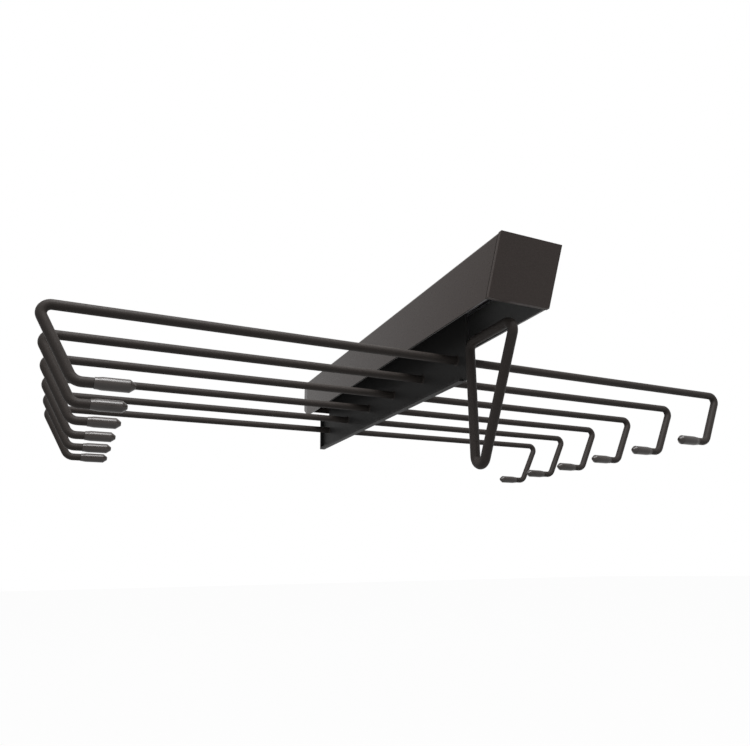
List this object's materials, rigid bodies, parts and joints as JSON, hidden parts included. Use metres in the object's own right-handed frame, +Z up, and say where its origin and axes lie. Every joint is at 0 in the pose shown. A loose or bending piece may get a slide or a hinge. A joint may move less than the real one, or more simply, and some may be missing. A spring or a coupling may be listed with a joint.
{
  "type": "pull out trouser rack",
  "caption": "Under-shelf trouser rack that pulls out on a ball runner: a long cover, a central blade with hooked hanger wires and a wire pull handle.",
  "frame": {"origin": "the middle of the cover's top face, which lies against the underside of the shelf", "axes": "+X along the hanger wires to the right as seen from the front, +Y back into the wardrobe, +Z up to the shelf; the rack pulls out along -Y"},
  "size_m": [0.5366, 0.3601, 0.1332],
  "materials": {
    "cover_coat": "satin dark brown powder coat",
    "blade_coat": "satin dark brown powder coat",
    "wire_coat": "satin dark brown powder coat on round wire",
    "cap_plastic": "dark brown moulded plastic",
    "runner_zinc": "zinc-plated cold-drawn steel",
    "cage_steel": "bright rolled strip",
    "ball_steel": "polished",
    "screw_zinc": "zinc-plated",
    "buffer_rubber": "matt black"
  },
  "bodies": {
    "root": {"cover": "cover_coat", "rear_cap": "cap_plastic", "closing_buffer": "buffer_rubber", "runner_outer_member": "runner_zinc"},
    "runner_middle": {"runner_middle_member": "runner_zinc"},
    "outer_cage": {"outer_ball_cage": "cage_steel", "outer_balls": "ball_steel"},
    "inner_cage": {"inner_ball_cage": "cage_steel", "inner_balls": "ball_steel"},
    "carriage": {"runner_inner_member": "runner_zinc", "front_plate": "cover_coat", "carrier_strip": "blade_coat", "strip_screws": "screw_zinc", "blade": "blade_coat", "pull_handle": "wire_coat", "hanger_wire_1": "wire_coat", "hanger_wire_2": "wire_coat", "hanger_wire_3": "wire_coat", "hanger_wire_4": "wire_coat", "hanger_wire_5": "wire_coat", "hanger_wire_6": "wire_coat", "end_cap_1_left": "cap_plastic", "end_cap_1_right": "cap_plastic", "end_cap_2_left": "cap_plastic", "end_cap_2_right": "cap_plastic", "end_cap_3_left": "cap_plastic", "end_cap_3_right": "cap_plastic", "end_cap_4_left": "cap_plastic", "end_cap_4_right": "cap_plastic", "end_cap_5_left": "cap_plastic", "end_cap_5_right": "cap_plastic", "end_cap_6_left": "cap_plastic", "end_cap_6_right": "cap_plastic"}
  },
  "joints": [
    {"name": "pull_out", "type": "slide", "parent": "root", "child": "carriage", "axis": [0, -1, 0], "range_m": [0, 0.3]},
    {"name": "middle_member_slide", "type": "slide", "parent": "root", "child": "runner_middle", "axis": [0, -1, 0], "range_m": [0, 0.15]},
    {"name": "outer_cage_roll", "type": "slide", "parent": "root", "child": "outer_cage", "axis": [0, -1, 0], "range_m": [0, 0.075]},
    {"name": "inner_cage_roll", "type": "slide", "parent": "root", "child": "inner_cage", "axis": [0, -1, 0], "range_m": [0, 0.225]}
  ],
  "couplings": [
    {"joint": "middle_member_slide", "follows": "pull_out", "ratio": 0.5},
    {"joint": "outer_cage_roll", "follows": "pull_out", "ratio": 0.25},
    {"joint": "inner_cage_roll", "follows": "pull_out", "ratio": 0.75}
  ]
}
